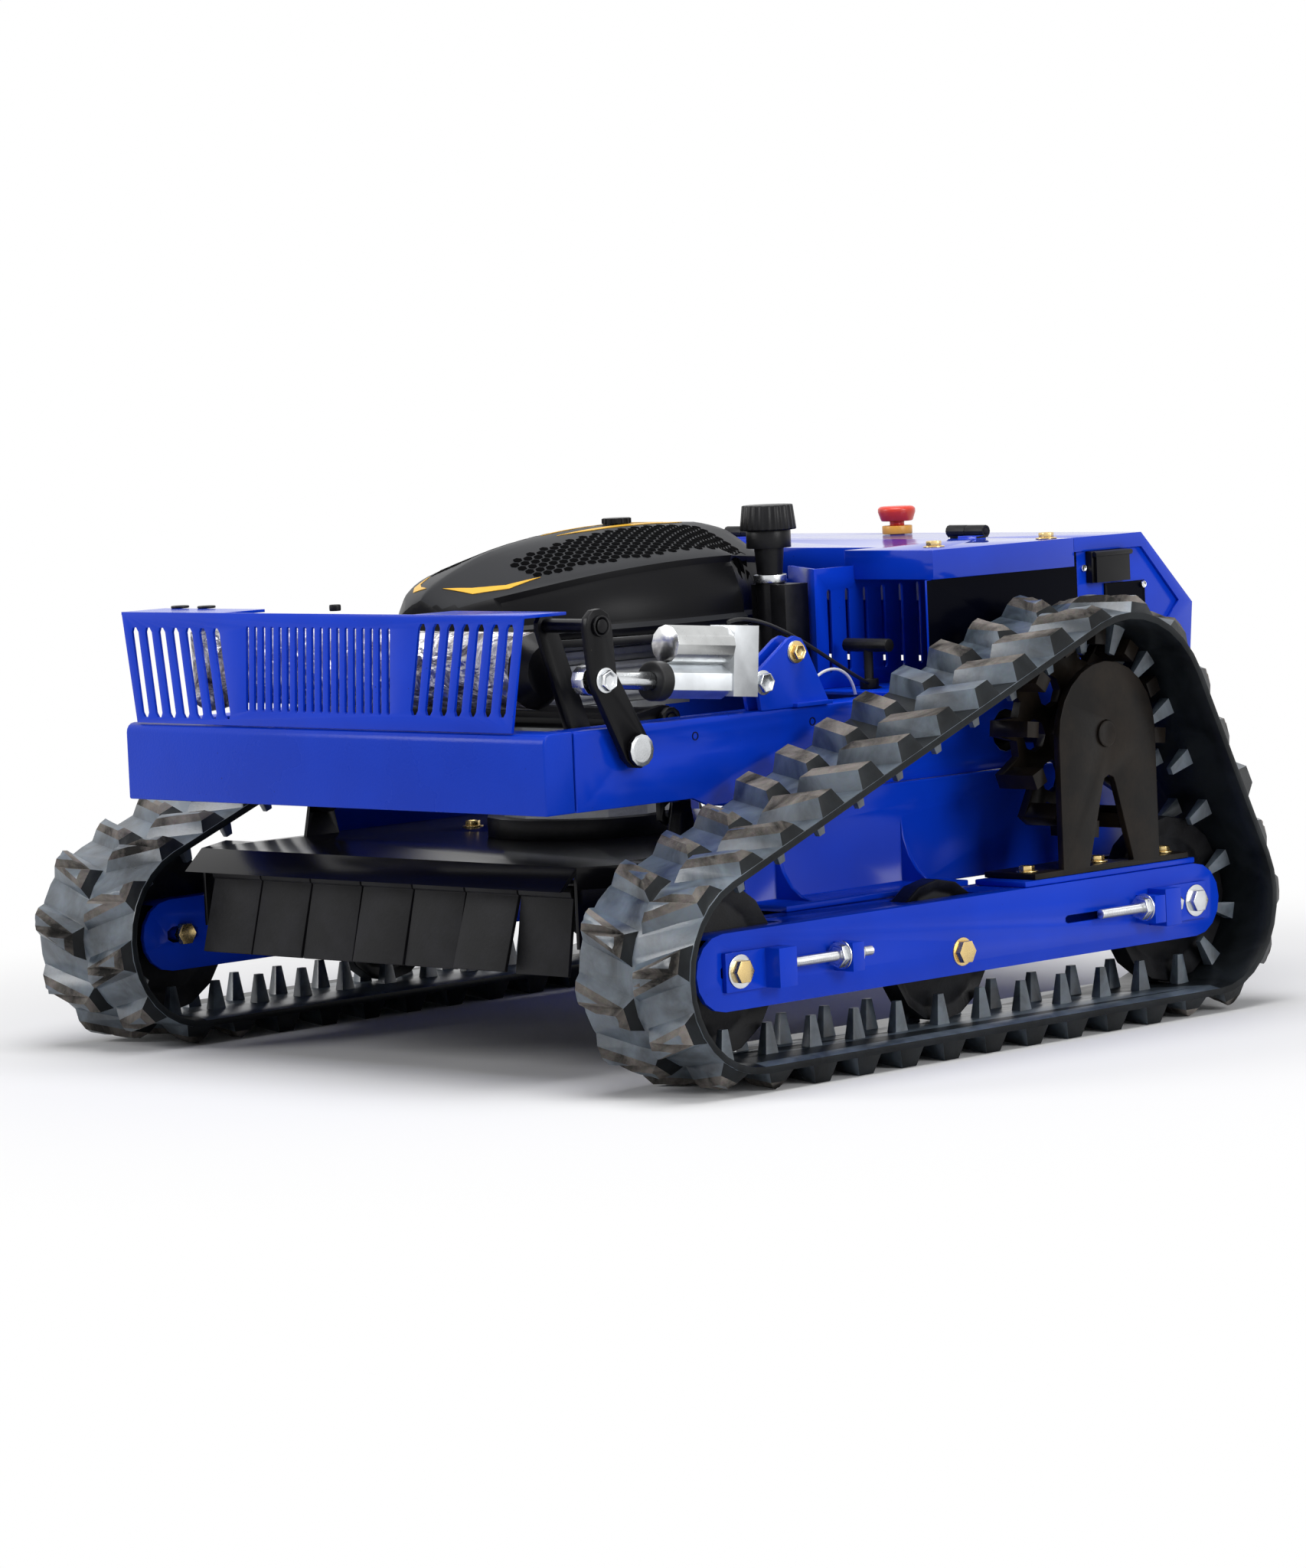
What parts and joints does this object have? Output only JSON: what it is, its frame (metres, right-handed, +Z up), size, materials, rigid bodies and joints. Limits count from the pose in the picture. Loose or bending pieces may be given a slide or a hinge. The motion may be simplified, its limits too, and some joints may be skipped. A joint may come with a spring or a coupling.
{
  "type": "remote control slope mower",
  "caption": "Small tracked slope mower: two lugged rubber tracks, lifting cutter deck under an engine, slotted front guard and a rear box with a stop button.",
  "frame": {"origin": "on the ground under the centre of the machine's box", "axes": "+Z up, +X towards the machine's left track, -Y towards the front bumper"},
  "size_m": [0.964, 0.964, 0.541],
  "materials": {
    "frame_blue": "semi-gloss powder coat with a fine orange peel",
    "frame_black": "satin black paint",
    "track_rubber": "worn moulded rubber",
    "flap_rubber": "matte sheet rubber",
    "wheel_moulding": "matte moulding",
    "cowl_plastic": "matte moulded plastic",
    "zinc_steel": "bright zinc plate",
    "actuator_alloy": "satin cast and drawn aluminium",
    "engine_alloy": "rough cast aluminium",
    "heat_wrap": "crumpled foil",
    "blade_steel": "ground steel",
    "stop_red": "glossy",
    "stop_yellow": "glossy",
    "case_plastic": "matte"
  },
  "bodies": {
    "chassis": {"rubber_belt_left": "track_rubber", "rubber_belt_right": "track_rubber", "track_beam_left": "frame_blue", "track_beam_right": "frame_blue", "front_tensioner_left": "zinc_steel", "front_tensioner_right": "zinc_steel", "rear_tensioner_left": "zinc_steel", "rear_tensioner_right": "zinc_steel", "saddle_plate_left": "frame_blue", "saddle_plate_right": "frame_blue", "arch_support_left": "frame_black", "arch_support_right": "frame_black", "gearmotor_left": "zinc_steel", "gearmotor_right": "zinc_steel", "side_rail_left": "frame_blue", "side_rail_right": "frame_blue", "side_plate_left": "frame_blue", "side_plate_right": "frame_blue", "front_bumper": "frame_blue", "front_guard": "frame_blue", "rear_tray": "frame_blue", "box_side_left": "frame_blue", "box_side_right": "frame_blue", "rear_cover": "frame_blue", "vent_guard": "frame_blue", "battery_case": "case_plastic", "stop_collar": "stop_yellow", "charge_socket": "case_plastic", "actuator_bracket": "frame_blue"},
    "lift": {"lift_frame": "frame_black", "lift_lever": "frame_black"},
    "link_left": {"lift_link_left": "zinc_steel"},
    "link_right": {"lift_link_right": "zinc_steel"},
    "actuator_tube": {"actuator_body": "actuator_alloy"},
    "actuator_rod": {"actuator_rod": "actuator_alloy"},
    "mower": {"mower_deck": "frame_black", "engine_block": "engine_alloy", "engine_cowl": "cowl_plastic", "muffler": "heat_wrap"},
    "blade": {"cutting_blade": "blade_steel"},
    "fuel_cap": {"fuel_cap": "frame_black"},
    "recoil_grip": {"recoil_grip": "frame_black"},
    "lid": {"box_lid": "frame_blue"},
    "stop_button": {"stop_head": "stop_red"},
    "socket_cap": {"socket_cap": "case_plastic"},
    "front_wheel_left": {"front_wheel_left": "wheel_moulding"},
    "front_wheel_right": {"front_wheel_right": "wheel_moulding"},
    "middle_wheel_left": {"middle_wheel_left": "wheel_moulding"},
    "middle_wheel_right": {"middle_wheel_right": "wheel_moulding"},
    "rear_wheel_left": {"rear_wheel_left": "wheel_moulding"},
    "rear_wheel_right": {"rear_wheel_right": "wheel_moulding"},
    "drive_sprocket_left": {"drive_sprocket_left": "frame_black"},
    "drive_sprocket_right": {"drive_sprocket_right": "frame_black"},
    "flap_1": {"rubber_flap_1": "flap_rubber"},
    "flap_2": {"rubber_flap_2": "flap_rubber"},
    "flap_3": {"rubber_flap_3": "flap_rubber"},
    "flap_4": {"rubber_flap_4": "flap_rubber"},
    "flap_5": {"rubber_flap_5": "flap_rubber"},
    "flap_6": {"rubber_flap_6": "flap_rubber"},
    "flap_7": {"rubber_flap_7": "flap_rubber"}
  },
  "joints": [
    {"name": "front_wheel_left_spin", "type": "hinge", "parent": "chassis", "child": "front_wheel_left", "pos_m": [0.407, -0.367, 0.115], "axis": [1, 0, 0], "continuous": true},
    {"name": "front_wheel_right_spin", "type": "hinge", "parent": "chassis", "child": "front_wheel_right", "pos_m": [-0.407, -0.367, 0.115], "axis": [1, 0, 0], "continuous": true},
    {"name": "middle_wheel_left_spin", "type": "hinge", "parent": "chassis", "child": "middle_wheel_left", "pos_m": [0.407, -0.0475, 0.0995], "axis": [1, 0, 0], "continuous": true},
    {"name": "middle_wheel_right_spin", "type": "hinge", "parent": "chassis", "child": "middle_wheel_right", "pos_m": [-0.407, -0.0475, 0.0995], "axis": [1, 0, 0], "continuous": true},
    {"name": "rear_wheel_left_spin", "type": "hinge", "parent": "chassis", "child": "rear_wheel_left", "pos_m": [0.407, 0.3046, 0.115], "axis": [1, 0, 0], "continuous": true},
    {"name": "rear_wheel_right_spin", "type": "hinge", "parent": "chassis", "child": "rear_wheel_right", "pos_m": [-0.407, 0.3046, 0.115], "axis": [1, 0, 0], "continuous": true},
    {"name": "drive_sprocket_left_spin", "type": "hinge", "parent": "chassis", "child": "drive_sprocket_left", "pos_m": [0.407, 0.184, 0.298], "axis": [1, 0, 0], "continuous": true},
    {"name": "drive_sprocket_right_spin", "type": "hinge", "parent": "chassis", "child": "drive_sprocket_right", "pos_m": [-0.407, 0.184, 0.298], "axis": [1, 0, 0], "continuous": true},
    {"name": "lift_pivot", "type": "hinge", "parent": "chassis", "child": "lift", "pos_m": [0, -0.363, 0.323], "axis": [1, 0, 0], "range_deg": [-36, 0]},
    {"name": "deck_lift", "type": "slide", "parent": "chassis", "child": "mower", "axis": [0, 0, 1], "range_m": [-0.068, 0]},
    {"name": "actuator_swing", "type": "hinge", "parent": "chassis", "child": "actuator_tube", "pos_m": [0.3, -0.175, 0.374], "axis": [1, 0, 0], "range_deg": [-4.6, 0]},
    {"name": "rod_stroke", "type": "slide", "parent": "actuator_tube", "child": "actuator_rod", "axis": [0, 0.9964, -0.0851], "range_m": [0, 0.048]},
    {"name": "link_left_swing", "type": "hinge", "parent": "lift", "child": "link_left", "pos_m": [0.258, -0.253, 0.3424], "axis": [1, 0, 0], "range_deg": [0, 39]},
    {"name": "link_right_swing", "type": "hinge", "parent": "lift", "child": "link_right", "pos_m": [-0.258, -0.253, 0.3424], "axis": [1, 0, 0], "range_deg": [0, 39]},
    {"name": "blade_spin", "type": "hinge", "parent": "mower", "child": "blade", "pos_m": [0, -0.122, 0.2], "axis": [0, 0, 1], "continuous": true},
    {"name": "flap_1_swing", "type": "hinge", "parent": "mower", "child": "flap_1", "pos_m": [-0.2289, -0.4, 0.186], "axis": [1, 0, 0], "range_deg": [-45, 30], "stiffness_Nm_per_rad": 0.5},
    {"name": "flap_2_swing", "type": "hinge", "parent": "mower", "child": "flap_2", "pos_m": [-0.1526, -0.4, 0.186], "axis": [1, 0, 0], "range_deg": [-45, 30], "stiffness_Nm_per_rad": 0.5},
    {"name": "flap_3_swing", "type": "hinge", "parent": "mower", "child": "flap_3", "pos_m": [-0.0763, -0.4, 0.186], "axis": [1, 0, 0], "range_deg": [-45, 30], "stiffness_Nm_per_rad": 0.5},
    {"name": "flap_4_swing", "type": "hinge", "parent": "mower", "child": "flap_4", "pos_m": [0, -0.4, 0.186], "axis": [1, 0, 0], "range_deg": [-45, 30], "stiffness_Nm_per_rad": 0.5},
    {"name": "flap_5_swing", "type": "hinge", "parent": "mower", "child": "flap_5", "pos_m": [0.0763, -0.4, 0.186], "axis": [1, 0, 0], "range_deg": [-45, 30], "stiffness_Nm_per_rad": 0.5},
    {"name": "flap_6_swing", "type": "hinge", "parent": "mower", "child": "flap_6", "pos_m": [0.1526, -0.4, 0.186], "axis": [1, 0, 0], "range_deg": [-45, 30], "stiffness_Nm_per_rad": 0.5},
    {"name": "flap_7_swing", "type": "hinge", "parent": "mower", "child": "flap_7", "pos_m": [0.2289, -0.4, 0.186], "axis": [1, 0, 0], "range_deg": [-45, 30], "stiffness_Nm_per_rad": 0.5},
    {"name": "fuel_cap_turn", "type": "hinge", "parent": "mower", "child": "fuel_cap", "pos_m": [0.155, 0.003, 0.53], "axis": [0, 0, 1], "range_deg": [0, 90]},
    {"name": "recoil_pull", "type": "slide", "parent": "chassis", "child": "recoil_grip", "axis": [0, 0, 1], "range_m": [0, 0.25], "stiffness_N_per_m": 60},
    {"name": "lid_hinge", "type": "hinge", "parent": "chassis", "child": "lid", "pos_m": [0, 0.2955, 0.4972], "axis": [-1, 0, 0], "range_deg": [0, 95]},
    {"name": "stop_press", "type": "slide", "parent": "chassis", "child": "stop_button", "axis": [0, 0, -1], "range_m": [0, 0.0045], "stiffness_N_per_m": 1500},
    {"name": "socket_cap_flip", "type": "hinge", "parent": "chassis", "child": "socket_cap", "pos_m": [0.3226, 0.3455, 0.471], "axis": [0, -1, 0], "range_deg": [0, 120]}
  ],
  "couplings": [
    {"joint": "deck_lift", "follows": "lift_pivot", "m_per_rad": 0.1066},
    {"joint": "actuator_swing", "follows": "lift_pivot", "ratio": 0.1265},
    {"joint": "rod_stroke", "follows": "lift_pivot", "m_per_rad": -0.0758},
    {"joint": "link_left_swing", "follows": "lift_pivot", "ratio": -1.08},
    {"joint": "link_right_swing", "follows": "lift_pivot", "ratio": -1.08}
  ]
}
